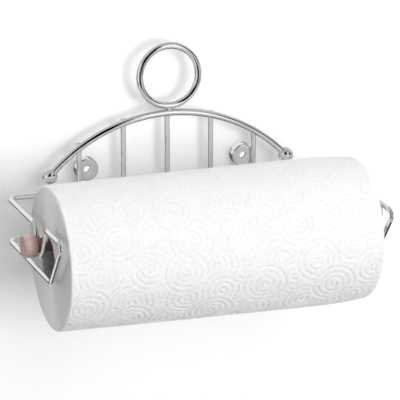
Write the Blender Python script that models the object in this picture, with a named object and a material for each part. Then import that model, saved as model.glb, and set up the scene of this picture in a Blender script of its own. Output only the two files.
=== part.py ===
"""Wall-mounted wire paper towel holder, carrying a roll on a wooden rod.

Metres. +X runs along the roll, -Y points into the room, +Z is up. The wall is the plane Y = 0, and
the origin lies on it, midway between the two mounting holes. Sizes below are in millimetres times MM.
"""

import math

import bmesh
import bpy
from mathutils import Vector

MM = 0.001
GAP = 0.3 * MM  # play left between welded, glued or resting pieces

# Mounting cups: drawn steel cups, open towards the wall
CUP_X = 72.4 * MM
CUP_RADIUS = 10.2 * MM
CUP_DEPTH = 9.5 * MM
CUP_WALL = 1.2 * MM
CUP_EDGE = 1.4 * MM
SCREW_HOLE_RADIUS = 3.1 * MM

# Wires
STOUT_WIRE = 3.0 * MM  # radius of the arch and the ring
THIN_WIRE = 2.25 * MM  # radius of the arm wires
UPRIGHT_WIRE = 2.3 * MM
UPRIGHT_PITCH = 40.4 * MM
UPRIGHT_COUNT = 5
UPRIGHT_PROUD = 2.8 * MM  # how far an upright reaches past the arch's centreline
UPRIGHT_FOOT = 3.5 * MM  # how far it reaches below the lower cross wire's centreline
ARCH_RADIUS = 148.5 * MM
ARCH_HALF_CHORD = 109.3 * MM
FINIAL_Z = -0.4 * MM
FINIAL_RADIUS = 6.7 * MM
SOCKET_DEPTH = 3.2 * MM
RING_RADIUS = 26.8 * MM

# Depths of the wire layers, counted out from the wall
UPRIGHT_Y = -(CUP_DEPTH + GAP + UPRIGHT_WIRE)
ARCH_Y = UPRIGHT_Y - UPRIGHT_WIRE - GAP - STOUT_WIRE
REAR_Y = UPRIGHT_Y - UPRIGHT_WIRE - GAP - THIN_WIRE

# Arm wires: each is one bent wire, from a rear cross wire round the arm and back
ARM_X = 145.7 * MM
UPPER_Z = -16.7 * MM
LOWER_Z = -54.6 * MM
HOOK_TOP_Z = -12.8 * MM
HOOK_NOSE_Y = -178.2 * MM
HOOK_HEEL_Y = -144.8 * MM
CRADLE_LEAN = math.radians(33)  # the cradle's front wall leans out from the vertical
REAR_BEND = 6.0 * MM
CRADLE_ENTRY_BEND = 13.0 * MM
HOOK_BEND = 5.5 * MM
HEEL_BEND = 7.0 * MM

# Rod and knobs
ROD_RADIUS = 6.2 * MM
ROD_Y = -111.0 * MM
ROD_Z = -31.6 * MM
CRADLE_RADIUS = ROD_RADIUS + THIN_WIRE + GAP
KNOB_RADIUS = 9.9 * MM
KNOB_LENGTH = 12.2 * MM
KNOB_INNER_X = ARM_X + THIN_WIRE + 0.6 * MM
KNOB_FACE_EDGE = 1.3 * MM
KNOB_NECK_EDGE = 3.0 * MM
TENON_DEPTH = 8.0 * MM

# Roll: it hangs on the rod, so its axis lies below the rod's
CORE_INNER_RADIUS = 19.5 * MM
CORE_WALL = 1.2 * MM
CORE_RECESS = 0.6 * MM
ROLL_RADIUS = 63.6 * MM  # half way along
ROLL_LENGTH = 278.8 * MM
ROLL_SHIFT = 2.5 * MM  # it sits a little towards +X between the arms
ROLL_CONE = 1.4 * MM  # it is wound slightly thicker towards +X, by this much at the very end
ROLL_TELESCOPE = 2.4 * MM  # its innermost turns stand this much towards -X of the outermost
ROLL_LEFT_EDGE = 2.5 * MM
ROLL_RIGHT_EDGE = 6.0 * MM
ROLL_SQUEEZE_LENGTH = 46.0 * MM  # the +X end is squeezed slightly smaller
ROLL_SQUEEZE = 3.4 * MM
ROLL_Z = ROD_Z - (CORE_INNER_RADIUS - ROD_RADIUS - GAP)

BEND_STEP = math.radians(13)


def clear_scene():
    for thing in list(bpy.data.objects):
        bpy.data.objects.remove(thing, do_unlink=True)


def make_material(name, colour, roughness, metallic):
    material = bpy.data.materials.new(name)
    material.use_nodes = True
    shader = material.node_tree.nodes["Principled BSDF"]
    shader.inputs["Base Color"].default_value = (*colour, 1.0)
    shader.inputs["Roughness"].default_value = roughness
    shader.inputs["Metallic"].default_value = metallic
    material.diffuse_color = (*colour, 1.0)
    return material


def chrome_material(name):
    return make_material(name, (0.80, 0.80, 0.82), 0.12, 1.0)


def wood_material(name):
    return make_material(name, (0.62, 0.43, 0.34), 0.45, 0.0)


def add_object(name, data, material, location=(0.0, 0.0, 0.0), parent=None):
    thing = bpy.data.objects.new(name, data)
    data.materials.append(material)
    bpy.context.scene.collection.objects.link(thing)
    if parent is not None:
        thing.parent = parent
        thing.location = Vector(location) - parent.location
    else:
        thing.location = location
    return thing


def add_axis_empty(name, location):
    """An empty on a joint's axis, which carries the pieces that move together."""
    empty = bpy.data.objects.new(name, None)
    empty.empty_display_size = 0.02
    empty.location = location
    bpy.context.scene.collection.objects.link(empty)
    return empty


def arc_points(centre, radius, start, end, steps):
    """Points (a, b) on an arc in a plane, from the start angle to the end angle."""
    turns = [start + (end - start) * step / steps for step in range(steps + 1)]
    return [(centre[0] + radius * math.cos(t), centre[1] + radius * math.sin(t)) for t in turns]


def bent_path(corners):
    """The centreline of a wire bent at its corners, given as (point, bend radius)."""
    points = [Vector(corners[0][0])]
    for index in range(1, len(corners) - 1):
        corner, radius = Vector(corners[index][0]), corners[index][1]
        back = (Vector(corners[index - 1][0]) - corner).normalized()
        ahead = (Vector(corners[index + 1][0]) - corner).normalized()
        half_angle = back.angle(ahead) / 2
        turn = math.pi - 2 * half_angle
        centre = corner + (back + ahead).normalized() * (radius / math.sin(half_angle))
        start = corner + back * (radius / math.tan(half_angle)) - centre
        side = back * -1
        steps = max(3, round(turn / BEND_STEP))
        for step in range(steps + 1):
            angle = turn * step / steps
            points.append(centre + start * math.cos(angle) + side * (radius * math.sin(angle)))
    points.append(Vector(corners[-1][0]))
    return points


def wire(name, points, radius, material, resolution=3, closed=False):
    """A round wire along its points, with flat ends unless it is a closed loop."""
    curve = bpy.data.curves.new(name, "CURVE")
    curve.dimensions = "3D"
    curve.bevel_depth = radius
    curve.bevel_resolution = resolution
    curve.use_fill_caps = not closed
    spline = curve.splines.new("POLY")
    spline.points.add(len(points) - 1)
    spline.use_cyclic_u = closed
    for spline_point, point in zip(spline.points, points):
        spline_point.co = (*point, 1.0)
    return add_object(name, curve, material)


def turned_mesh(name, outline, segments, closed=False):
    """A mesh turned about the X axis from an outline of (x, radius) points.

    An open outline starts and ends on the axis. A closed one makes a tube.
    """
    mesh = bpy.data.meshes.new(name)
    shape = bmesh.new()
    rings = []
    for x, radius in outline:
        if radius == 0:
            rings.append([shape.verts.new((x, 0, 0))])
            continue
        angles = [2 * math.pi * k / segments for k in range(segments)]
        rings.append([shape.verts.new((x, radius * math.cos(a), radius * math.sin(a))) for a in angles])
    pairs = list(zip(rings, rings[1:]))
    if closed:
        pairs.append((rings[-1], rings[0]))
    for first, second in pairs:
        for k in range(segments):
            following = (k + 1) % segments
            corners = [first[k % len(first)], second[k % len(second)]]
            corners += [second[following % len(second)], first[following % len(first)]]
            unique = list(dict.fromkeys(corners))
            shape.faces.new(unique)
    bmesh.ops.recalc_face_normals(shape, faces=shape.faces)
    shape.to_mesh(mesh)
    shape.free()
    mesh.shade_smooth()
    mesh.set_sharp_from_angle(angle=math.radians(35))
    return mesh


def turn_to_y(mesh):
    """Turn a mesh made about X so that its +X end faces +Y, towards the wall."""
    for vertex in mesh.vertices:
        x, y, z = vertex.co
        vertex.co = (-y, x, z)


def arch_height(x):
    """Z of the arch's centreline at x."""
    centre_z = FINIAL_Z - math.sqrt(ARCH_RADIUS**2 - ARCH_HALF_CHORD**2)
    return centre_z + math.sqrt(ARCH_RADIUS**2 - x**2)


def build_mounting_cups():
    back, front = 0.0, -CUP_DEPTH
    plate = front + CUP_WALL
    inner = CUP_RADIUS - CUP_WALL
    outline = [(back, inner), (back, CUP_RADIUS)]
    outer_corner = (front + CUP_EDGE, CUP_RADIUS - CUP_EDGE)
    outline += arc_points(outer_corner, CUP_EDGE, math.pi / 2, math.pi, 4)
    outline += [(front, SCREW_HOLE_RADIUS), (plate, SCREW_HOLE_RADIUS), (plate, inner)]
    for side, sign in (("left", -1), ("right", 1)):
        name = f"mounting_cup_{side}"
        mesh = turned_mesh(name, outline, 28, closed=True)
        turn_to_y(mesh)
        add_object(name, mesh, chrome_material(name), (sign * CUP_X, 0, 0))


def build_uprights():
    middle = (UPRIGHT_COUNT - 1) / 2
    for index in range(UPRIGHT_COUNT):
        x = (index - middle) * UPRIGHT_PITCH
        name = f"upright_{index + 1}"
        ends = [(x, UPRIGHT_Y, LOWER_Z - UPRIGHT_FOOT), (x, UPRIGHT_Y, arch_height(x) + UPRIGHT_PROUD)]
        wire(name, ends, UPRIGHT_WIRE, chrome_material(name))


def build_arch():
    centre = (0.0, arch_height(0) - ARCH_RADIUS)
    reach = math.asin(ARCH_HALF_CHORD / ARCH_RADIUS)
    inset = (FINIAL_RADIUS - SOCKET_DEPTH + GAP) / ARCH_RADIUS
    flat = arc_points(centre, ARCH_RADIUS, math.pi / 2 + reach - inset, math.pi / 2 - reach + inset, 40)
    wire("arch_wire", [(x, ARCH_Y, z) for x, z in flat], STOUT_WIRE, chrome_material("arch_wire"), 4)
    for side, sign in (("left", -1), ("right", 1)):
        build_finial(f"finial_{side}", sign, reach)


def build_finial(name, sign, reach):
    """A ball with a blind socket, where the end of the arch goes in."""
    mesh = bpy.data.meshes.new(name)
    shape = bmesh.new()
    bmesh.ops.create_uvsphere(shape, u_segments=24, v_segments=14, radius=FINIAL_RADIUS)
    shape.to_mesh(mesh)
    shape.free()
    mesh.shade_smooth()
    ball = add_object(name, mesh, chrome_material(name), (sign * ARCH_HALF_CHORD, ARCH_Y, FINIAL_Z))

    bore_start = FINIAL_RADIUS - SOCKET_DEPTH
    bore_end = FINIAL_RADIUS * 1.5
    bore_radius = STOUT_WIRE + GAP
    outline = [(bore_start, 0), (bore_start, bore_radius), (bore_end, bore_radius), (bore_end, 0)]
    cutter = add_object(name + "_cutter", turned_mesh(name + "_cutter", outline, 16), ball.active_material)
    cutter.hide_render = True
    cutter.display_type = "WIRE"
    cutter.location = ball.location
    tangent = Vector((-sign * math.cos(reach), 0, math.sin(reach)))
    cutter.rotation_euler = tangent.to_track_quat("X", "Z").to_euler()
    cut = ball.modifiers.new("socket", "BOOLEAN")
    cut.operation = "DIFFERENCE"
    cut.solver = "EXACT"
    cut.object = cutter


def build_ring():
    centre = (0.0, arch_height(0) + 2 * STOUT_WIRE + GAP + RING_RADIUS)
    flat = arc_points(centre, RING_RADIUS, 0, 2 * math.pi, 44)[:-1]
    points = [(x, ARCH_Y, z) for x, z in flat]
    wire("top_ring", points, STOUT_WIRE, chrome_material("top_ring"), 4, closed=True)


def arm_corners(sign):
    """Corners of one arm wire, seen from the side as a bracket with a cradle and a hook."""
    lean_cos, lean_sin = math.cos(CRADLE_LEAN), math.sin(CRADLE_LEAN)
    back_wall_y = ROD_Y + CRADLE_RADIUS
    # The cradle's vertical back wall and leaning front wall both touch the circle round the rod
    cradle_z = ROD_Z - CRADLE_RADIUS * (1 + lean_cos) / lean_sin
    hook_top_y = ROD_Y - (CRADLE_RADIUS + lean_sin * (HOOK_TOP_Z - ROD_Z)) / lean_cos
    x = sign * ARM_X
    middle = sign * GAP / 2
    return [
        ((middle, REAR_Y, UPPER_Z), 0),
        ((x, REAR_Y, UPPER_Z), REAR_BEND),
        ((x, back_wall_y, UPPER_Z), CRADLE_ENTRY_BEND),
        ((x, back_wall_y, cradle_z), CRADLE_RADIUS),
        ((x, hook_top_y, HOOK_TOP_Z), HOOK_BEND),
        ((x, HOOK_NOSE_Y, HOOK_TOP_Z), HOOK_BEND),
        ((x, HOOK_HEEL_Y, LOWER_Z), HEEL_BEND),
        ((x, REAR_Y, LOWER_Z), REAR_BEND),
        ((middle, REAR_Y, LOWER_Z), 0),
    ]


def build_arm_wires():
    for side, sign in (("left", -1), ("right", 1)):
        name = f"arm_wire_{side}"
        wire(name, bent_path(arm_corners(sign)), THIN_WIRE, chrome_material(name))


def build_rod(axis):
    half = KNOB_INNER_X + TENON_DEPTH - GAP
    outline = [(-half, 0), (-half, ROD_RADIUS), (half, ROD_RADIUS), (half, 0)]
    mesh = turned_mesh("roller_rod", outline, 28)
    add_object("roller_rod", mesh, wood_material("roller_rod"), axis.location, axis)


def build_knobs(axis):
    """Turned end knobs, each with a blind hole for the rod's end."""
    bore = ROD_RADIUS + GAP
    face = KNOB_LENGTH
    outline = [(TENON_DEPTH, 0), (TENON_DEPTH, bore), (0, bore)]
    neck = (KNOB_NECK_EDGE, KNOB_RADIUS - KNOB_NECK_EDGE)
    outline += arc_points(neck, KNOB_NECK_EDGE, math.pi, math.pi / 2, 5)
    rim = (face - KNOB_FACE_EDGE, KNOB_RADIUS - KNOB_FACE_EDGE)
    outline += arc_points(rim, KNOB_FACE_EDGE, math.pi / 2, 0, 4)
    outline += [(face, 0)]
    for side, sign in (("left", -1), ("right", 1)):
        name = f"knob_{side}"
        mesh = turned_mesh(name, [(sign * x, radius) for x, radius in outline], 28)
        place = axis.location + Vector((sign * KNOB_INNER_X, 0, 0))
        add_object(name, mesh, wood_material(name), place, axis)


def build_core(axis):
    half = ROLL_LENGTH / 2 - CORE_RECESS
    outer = CORE_INNER_RADIUS + CORE_WALL
    outline = [(-half, CORE_INNER_RADIUS), (half, CORE_INNER_RADIUS), (half, outer), (-half, outer)]
    mesh = turned_mesh("cardboard_core", outline, 36, closed=True)
    brown = make_material("cardboard_core", (0.42, 0.36, 0.30), 0.9, 0.0)
    place = axis.location - Vector((ROLL_TELESCOPE, 0, 0))
    add_object("cardboard_core", mesh, brown, place, axis)


def roll_outer_radius(x):
    """Radius of the outermost turn: a slight cone, squeezed towards its +X end."""
    half = ROLL_LENGTH / 2
    squeezed = max(0.0, x - half + ROLL_SQUEEZE_LENGTH) / ROLL_SQUEEZE_LENGTH
    return ROLL_RADIUS + ROLL_CONE * x / half - ROLL_SQUEEZE * squeezed**2


def roll_outline():
    """Half section of the wound paper: shallow cones for ends, with rounded edges."""
    half = ROLL_LENGTH / 2
    inner = CORE_INNER_RADIUS + CORE_WALL + GAP
    left = -half + ROLL_LEFT_EDGE
    right = half - ROLL_RIGHT_EDGE
    outline = [(-half - ROLL_TELESCOPE, inner)]
    left_centre = (left, roll_outer_radius(left) - ROLL_LEFT_EDGE)
    outline += arc_points(left_centre, ROLL_LEFT_EDGE, math.pi, math.pi / 2, 4)
    squeeze_steps = 5
    for step in range(squeeze_steps):
        x = right - ROLL_SQUEEZE_LENGTH * (1 - step / squeeze_steps)
        outline.append((x, roll_outer_radius(x)))
    right_centre = (right, roll_outer_radius(right) - ROLL_RIGHT_EDGE)
    outline += arc_points(right_centre, ROLL_RIGHT_EDGE, math.pi / 2, 0, 5)
    outline += [(half - ROLL_TELESCOPE, inner)]
    return outline


def build_paper(axis):
    mesh = turned_mesh("paper_roll", roll_outline(), 56, closed=True)
    white = make_material("paper_roll", (0.93, 0.93, 0.92), 0.95, 0.0)
    add_object("paper_roll", mesh, white, axis.location, axis)


def build_roller():
    rod_axis = add_axis_empty("rod_axis", (0, ROD_Y, ROD_Z))
    build_rod(rod_axis)
    build_knobs(rod_axis)
    roll_axis = add_axis_empty("roll_axis", (ROLL_SHIFT, ROD_Y, ROLL_Z))
    build_core(roll_axis)
    build_paper(roll_axis)


clear_scene()
build_mounting_cups()
build_uprights()
build_arch()
build_ring()
build_arm_wires()
build_roller()
bpy.context.view_layer.update()
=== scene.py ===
import math

import bmesh
import bpy
import numpy as np
from mathutils import Matrix, Vector


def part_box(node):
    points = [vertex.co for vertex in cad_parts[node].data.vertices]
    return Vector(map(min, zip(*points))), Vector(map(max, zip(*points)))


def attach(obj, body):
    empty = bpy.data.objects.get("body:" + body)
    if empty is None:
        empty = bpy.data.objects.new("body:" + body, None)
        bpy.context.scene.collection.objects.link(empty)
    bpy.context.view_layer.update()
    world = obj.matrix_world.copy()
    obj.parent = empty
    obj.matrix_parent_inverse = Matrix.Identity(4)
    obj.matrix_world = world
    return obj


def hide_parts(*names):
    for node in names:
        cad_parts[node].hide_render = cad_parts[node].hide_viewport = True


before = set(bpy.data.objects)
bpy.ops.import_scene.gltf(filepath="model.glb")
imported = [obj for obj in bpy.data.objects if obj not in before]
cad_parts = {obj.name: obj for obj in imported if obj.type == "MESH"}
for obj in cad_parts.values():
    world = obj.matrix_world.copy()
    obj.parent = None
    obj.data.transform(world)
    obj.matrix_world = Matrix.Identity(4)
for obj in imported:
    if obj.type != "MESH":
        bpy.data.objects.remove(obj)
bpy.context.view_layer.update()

# --- Sizes -------------------------------------------------------
# Metres; +X along the roll, -Y out from the wall, +Z up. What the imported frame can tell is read
# from it; the rest repeats the driving sizes of the design.
MM = 0.001
FULL_TURN = 2 * math.pi
QUARTER_TURN = math.pi / 2
SIDES = (("left", -1), ("right", 1))
GAP = 0.3 * MM
POINT_RADIUS = 0.05 * MM  # where a turned end comes to its axis
WHITE = (1.0, 1.0, 1.0)

cup_low, cup_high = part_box("mounting_cup_left")
CUP_X = -(cup_low.x + cup_high.x) / 2
CUP_RADIUS = (cup_high.x - cup_low.x) / 2
CUP_DEPTH = cup_high.y - cup_low.y
CUP_WALL = 1.2 * MM
CUP_EDGE = 1.4 * MM
CUP_INNER_EDGE = 1.0 * MM
CUP_FOOT = 0.4 * MM
SCREW_HOLE_RADIUS = 3.1 * MM
SCREW_HOLE_EASE = 0.35 * MM

upright_low, upright_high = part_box("upright_3")
UPRIGHT_WIRE = (upright_high.x - upright_low.x) / 2
UPRIGHT_Y = (upright_low.y + upright_high.y) / 2
UPRIGHT_COUNT = 5
UPRIGHT_PITCH = 40.4 * MM

ring_low, ring_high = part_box("top_ring")
STOUT_WIRE = (ring_high.y - ring_low.y) / 2
ARCH_Y = (ring_low.y + ring_high.y) / 2
RING_RADIUS = (ring_high.x - ring_low.x) / 2 - STOUT_WIRE
RING_Z = (ring_low.z + ring_high.z) / 2
ARCH_RADIUS = 148.5 * MM
ARCH_TOP_Z = RING_Z - RING_RADIUS - 2 * STOUT_WIRE - GAP

ball_low, ball_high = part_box("finial_right")
FINIAL_RADIUS = (ball_high.y - ball_low.y) / 2
FINIAL_CENTRE = (ball_low + ball_high) / 2
FINIAL_REACH = math.asin(FINIAL_CENTRE.x / ARCH_RADIUS)  # angle from the arch's crown
SOCKET_DEPTH = 3.2 * MM
COLLAR_RADIUS = 3.45 * MM
COLLAR_BEAD = 0.45 * MM

arm_low, arm_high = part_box("arm_wire_right")
THIN_WIRE = 2.25 * MM
ARM_X = arm_high.x - THIN_WIRE
REAR_Y = arm_high.y - THIN_WIRE
HOOK_TOP_Z = arm_high.z - THIN_WIRE
LOWER_Z = arm_low.z + THIN_WIRE
UPPER_Z = -16.7 * MM
CROSS_WIRES = (("upper", UPPER_Z), ("lower", LOWER_Z))
HOOK_NOSE_Y = -178.2 * MM
HOOK_HEEL_Y = -144.8 * MM
CRADLE_LEAN = math.radians(33)
REAR_BEND = 6.0 * MM
CRADLE_ENTRY_BEND = 13.0 * MM
HOOK_BEND = 5.5 * MM
HEEL_BEND = 7.0 * MM

WIRE_END_EDGE = 0.45 * MM
WIRE_END_RINGS = 4
BEND_STEP = math.radians(6)
LONGEST_RUN = 4 * MM  # between two rings of vertices on a straight wire
STOUT_SIDES = 32
BOW_STEPS = 96

# Weld fillets: how far each reaches from its middle, two ways, and how much it narrows half way
ARCH_WELD = (1.7 * MM, 2.0 * MM, 0.28)
CROSS_WELD = (1.7 * MM, 1.6 * MM, 0.28)
CUP_WELD = (1.5 * MM, 1.7 * MM, 0.20)
RING_WELD = (4.2 * MM, 1.9 * MM, 0.22)
CUP_WELD_Z = 2.6 * MM
WELD_SINK = 0.12 * MM  # how far a fillet's ends lie inside the wires
WELD_RINGS = 9

rod_low, rod_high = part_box("roller_rod")
ROD_RADIUS = (rod_high.z - rod_low.z) / 2
ROD_AXIS = (rod_low + rod_high) / 2
CRADLE_RADIUS = ROD_RADIUS + THIN_WIRE + GAP
KNOB_NECK_EDGE = 3.0 * MM
KNOB_FACE_EDGE = 1.3 * MM
KNOB_DISH = 0.18 * MM
TENON_DEPTH = 8.0 * MM

core_low, core_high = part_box("cardboard_core")
CORE_RADIUS = (core_high.z - core_low.z) / 2
CORE_WALL = 1.2 * MM
CORE_SEGMENTS = 96
CORE_RUNS = 24
LINER = 0.25 * MM
LINER_PITCH = 74 * MM
LINER_GROOVE = 0.9 * MM

paper_low, paper_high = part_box("paper_roll")
ROLL_TELESCOPE = 2.4 * MM
ROLL_HALF = (paper_high.x - paper_low.x - ROLL_TELESCOPE) / 2
ROLL_CENTRE = Vector((paper_high.x - ROLL_HALF, ROD_AXIS.y, (core_low.z + core_high.z) / 2))
ROLL_RADIUS = 63.6 * MM
ROLL_CONE = 1.4 * MM
ROLL_LEFT_EDGE = 2.5 * MM
ROLL_RIGHT_EDGE = 6.0 * MM
ROLL_SQUEEZE_LENGTH = 46.0 * MM
ROLL_SQUEEZE = 3.4 * MM

LAYER = 0.45 * MM  # thickness of one turn as it lies on the roll
SHEET = 2.2 * MM  # thickness given to the outermost sheets
THINNEST_SHEET = 0.4 * MM  # what the deepest embossing leaves of them
SHEET_LENGTH = 150 * MM
SHEET_STEP = 0.74 * MM  # between two vertices of a sheet's outside
COARSE_STEP = 24  # rows of the outside for each row of the inside
TAIL_ANGLE = math.radians(168) - SHEET_LENGTH / ROLL_RADIUS

# The embossed pattern: discs of dotted rings on a loose grid, with pits scattered between them
DISC_RADIUS = 22.5 * MM
DISC_SPACING = 31 * MM
DISC_ROW_SHARE = 0.87  # distance between rows of discs, in spacings
DISC_JITTER = 0.24
DOT_RING_PITCH = 5.2 * MM
FIRST_DOT_RING = 2.9 * MM
LAST_DOT_RING = 4
DOT_PITCH = 2.4 * MM
DOT_SIZE = 0.62 * MM
DOT_DEPTH = 0.95 * MM
RIDGE_HEIGHT = 0.75 * MM
PITS_LEFT_IN_DISC = 0.55
PIT_CELL = 2.5 * MM
PRESS_AND_PIT_SHADE = (0.38, 0.82, 2.2)  # depth of the pressing and of the pits' painted shade: all round, extra towards the lower front, and focus
# The lower front of the roll, where the pressing is deepest and the pits' painted shade darkest
PRESS_AND_SHADE_ANGLE = math.radians(243)

# Unevenness of the sheets and of the turns' edges at the roll's ends
SLOW_WAVES = 0.35 * MM
CREPE_GRAIN = 0.16 * MM
CUT_EDGE = 0.22 * MM
TURN_GROOVE = 0.30 * MM
TURN_WANDER = 0.6 * MM

# --- Stage sizes -------------------------------------------------
# Directions from the object are pairs of degrees: azimuth, elevation.
CAMERA_PLACE = Vector((-0.7494, -2.2414, 0.6518))
CAMERA_TARGET = Vector((0.0152, -0.0557, -0.0231))
CAMERA_LENS = 249.6
CAMERA_SENSOR = 36.0
WALL_Y = 0.6 * MM
FLOOR_Z = -0.62
STAGE_REACH = 3.0
AMBIENT = 0.58

# Name, azimuth, elevation, distance, size, power
LAMPS = (
    ("key", 24, 3, 2.4, 1.1, 22),
    ("front", 6, 12, 2.4, 2.1, 29),
    ("high_front", 10, 42, 2.4, 2.0, 7),
    ("top", 10, 62, 2.4, 1.2, 12),
    ("left_side", -84, 12, 2.2, 0.9, 9.5),
)

# What the chrome mirrors: name, distance, brightness and the outline of each shape
CARDS = (
    ("black_flag", 2.4, 0.0, (
        ((-35, -23), (12, -23), (13, 2), (-33, 2)),
        ((-33, 0), (12, 0), (5, 14), (4, 60), (-27, 60), (-36, 26)),
        ((33, 5), (53, 5), (53, 34), (33, 34)),
        ((25, -34), (54, -34), (54, -14), (25, -14)),
        ((-150, -72), (-115, -66), (-70, -72), (60, -74), (95, -58), (128, -58), (155, -70)))),
    ("dark_flag", 2.6, 0.13, (
        ((-50, 14), (-30, 12), (-30, 34), (-50, 32)),
        ((54, 1), (80, 1), (80, 23), (54, 23)),
        ((146, -30), (205, -28), (204, -9), (184, -10), (168, -9), (162, 10), (150, 10)))),
    ("grey_flag", 3.6, 0.35, (
        ((-180, -32), (-102, -30), (-102, 5), (-180, 5)),
        ((5, 50), (60, 48), (50, 72), (5, 72)),
        ((92, -56), (180, -62), (180, -30), (96, -28)))),
    ("bright_strip", 2.5, 2.0, (
        ((13, -7), (26, -7), (26, 8), (13, 8)),)),
    ("pale_strip", 2.6, 0.95, (
        ((11, 8), (30, 8), (33, 44), (10, 44)),
        ((12, -31), (24, -31), (24, -17), (14, -17)),
        ((-92, -18), (-54, -18), (-54, 24), (-92, 24)))),
    ("white_strip", 2.5, 1.0, (
        ((100, 2), (146, 2), (142, 40), (105, 44)),
        ((152, 8), (200, 8), (206, 40), (152, 40)),
        ((197, -10), (218, -10), (218, 40), (204, 40)),
        ((-150, -34), (-132, -18), (-112, -36), (-112, -58), (-135, -50)))),
)


def new_object(name, data):
    thing = bpy.data.objects.new(name, data)
    bpy.context.scene.collection.objects.link(thing)
    return thing


# --- Mesh helpers ------------------------------------------------
def ring_angles(count):
    return np.arange(count) * FULL_TURN / count


def around_axis(point, x, radius, angles):
    """Vertices about an X axis through a point, from arrays of x, radius and angle."""
    x, radius, angles = np.broadcast_arrays(x, radius, angles)
    places = [point[0] + x, point[1] + radius * np.cos(angles), point[2] + radius * np.sin(angles)]
    return np.stack(places, -1).reshape(-1, 3)


def grid_faces(rows, columns, wrap_rows=False, wrap_columns=False):
    """Quads of a rows x columns grid of vertices, as an index array."""
    r = np.arange(rows if wrap_rows else rows - 1)[:, None]
    c = np.arange(columns if wrap_columns else columns - 1)[None, :]
    r_next, c_next = (r + 1) % rows, (c + 1) % columns
    corners = [row * columns + column
               for row, column in ((r, c), (r, c_next), (r_next, c_next), (r_next, c))]
    return np.stack([np.broadcast_to(k, (len(r), c.shape[1])) for k in corners], -1).reshape(-1, 4)


def end_caps(rings, sides):
    """The two polygons that close a tube made of rings of vertices."""
    last = (rings - 1) * sides
    return [list(range(sides)), list(range(last + sides - 1, last - 1, -1))]


def build_mesh(name, vertices, quads, polygons=()):
    """Mesh from a vertex array, an array of quads and a list of other polygons."""
    mesh = bpy.data.meshes.new(name)
    vertices = np.asarray(vertices, dtype=np.float32)
    sizes = np.concatenate([np.full(len(quads), 4), [len(p) for p in polygons]]).astype(np.int32)
    corners = np.concatenate([quads.ravel()] + [np.asarray(p) for p in polygons])
    starts = np.concatenate([[0], np.cumsum(sizes)[:-1]]).astype(np.int32)
    mesh.vertices.add(len(vertices))
    mesh.vertices.foreach_set("co", vertices.ravel())
    mesh.loops.add(len(corners))
    mesh.loops.foreach_set("vertex_index", corners.astype(np.int32))
    mesh.polygons.add(len(sizes))
    mesh.polygons.foreach_set("loop_start", starts)
    mesh.update(calc_edges=True)
    return mesh


def face_outwards(mesh):
    """Turn a closed mesh's faces outwards; its volume shows when the first pass got it wrong."""
    shape = bmesh.new()
    shape.from_mesh(mesh)
    bmesh.ops.recalc_face_normals(shape, faces=shape.faces)
    if shape.calc_volume(signed=True) < 0:
        bmesh.ops.reverse_faces(shape, faces=shape.faces)
    shape.to_mesh(mesh)
    shape.free()
    return mesh


def add_piece(mesh, material, body, slot, *replaced, sharp_angle=40):
    """Visible piece, named as its mesh, that rides on a body and may replace CAD nodes."""
    mesh.shade_smooth()
    mesh.set_sharp_from_angle(angle=math.radians(sharp_angle))
    mesh.materials.append(material)
    piece = new_object(mesh.name, mesh)
    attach(piece, body)
    if replaced:
        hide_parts(*replaced)


def arc_points(centre, radius, start, end, steps):
    angles = [start + (end - start) * step / steps for step in range(steps + 1)]
    return [(centre[0] + radius * math.cos(a), centre[1] + radius * math.sin(a)) for a in angles]


def bent_path(corners):
    """Points of a wire bent at its corners, each given as a point and a bend radius."""
    points = [corners[0][0]]
    for (before, _), (corner, radius), (after, _) in zip(corners, corners[1:], corners[2:]):
        corner = Vector(corner)
        back = (Vector(before) - corner).normalized()
        ahead = (Vector(after) - corner).normalized()
        turn = math.pi - back.angle(ahead)
        run = radius * math.tan(turn / 2)
        centre = corner + (back + ahead).normalized() * (radius / math.cos(turn / 2))
        first = corner + back * run - centre
        axis = first.cross(corner + ahead * run - centre).normalized()
        steps = max(2, math.ceil(turn / BEND_STEP))
        for index in range(steps + 1):
            points.append(centre + Matrix.Rotation(turn * index / steps, 3, axis) @ first)
    points.append(corners[-1][0])
    return np.array([tuple(p) for p in points])


def split_long_runs(points):
    """Extra points along straight runs, so that rings of vertices are never far apart."""
    result = [points[0]]
    for start, end in zip(points, points[1:]):
        pieces = max(1, math.ceil(np.linalg.norm(end - start) / LONGEST_RUN))
        result += [start + (end - start) * (k / pieces) for k in range(1, pieces + 1)]
    return np.array(result)


def path_frames(points, closed):
    """Tangent and two normals at each point, carried along without twist."""
    if closed:
        tangents = np.roll(points, -1, 0) - np.roll(points, 1, 0)
    else:
        tangents = np.gradient(points, axis=0)
    tangents /= np.linalg.norm(tangents, axis=1)[:, None]
    along_y = abs(tangents[0, 1]) >= 0.9
    side = np.cross(tangents[0], (0.0, 0.0, 1.0) if along_y else (0.0, 1.0, 0.0))
    sides = []
    for tangent in tangents:
        side = side - tangent * side.dot(tangent)
        side = side / np.linalg.norm(side)
        sides.append(side)
    sides = np.array(sides)
    return tangents, sides, np.cross(tangents, sides)


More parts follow.
